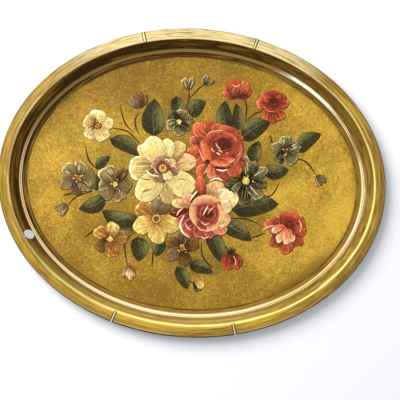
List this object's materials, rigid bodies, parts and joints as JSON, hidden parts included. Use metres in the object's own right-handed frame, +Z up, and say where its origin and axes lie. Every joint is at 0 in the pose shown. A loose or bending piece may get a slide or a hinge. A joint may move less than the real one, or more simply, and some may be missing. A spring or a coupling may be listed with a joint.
{
  "type": "painted oval tin serving tray",
  "caption": "Oval pressed-steel serving tray with a sloping wall, turned-down gilt rim over a wire, and a hand-painted bouquet on an antiqued gold ground.",
  "frame": {"origin": "centre of the oval on the resting plane, under the middle of the floor", "axes": "+X along the oval's long axis, to the right as the bouquet is seen upright; +Y towards the bouquet's top; +Z up out of the tray"},
  "size_m": [0.5598, 0.4478, 0.0239],
  "materials": {
    "gold_lacquer": "mottled antique-gold ground under glossy varnish, browned towards the wall",
    "strap_gold": "worn pale gilt, satin",
    "bare_steel": "plain drawn wire",
    "sticker_paper": "matte coated paper, blank",
    "flower_paint": "artist's oil paint in thin strokes under the same varnish"
  },
  "bodies": {
    "root": {"tray_pan": "gold_lacquer", "rim_wire": "bare_steel", "rim_strap_back_left": "strap_gold", "rim_strap_back_right": "strap_gold", "rim_strap_front_left": "strap_gold", "rim_strap_front_right": "strap_gold", "price_sticker": "sticker_paper"}
  },
  "joints": []
}
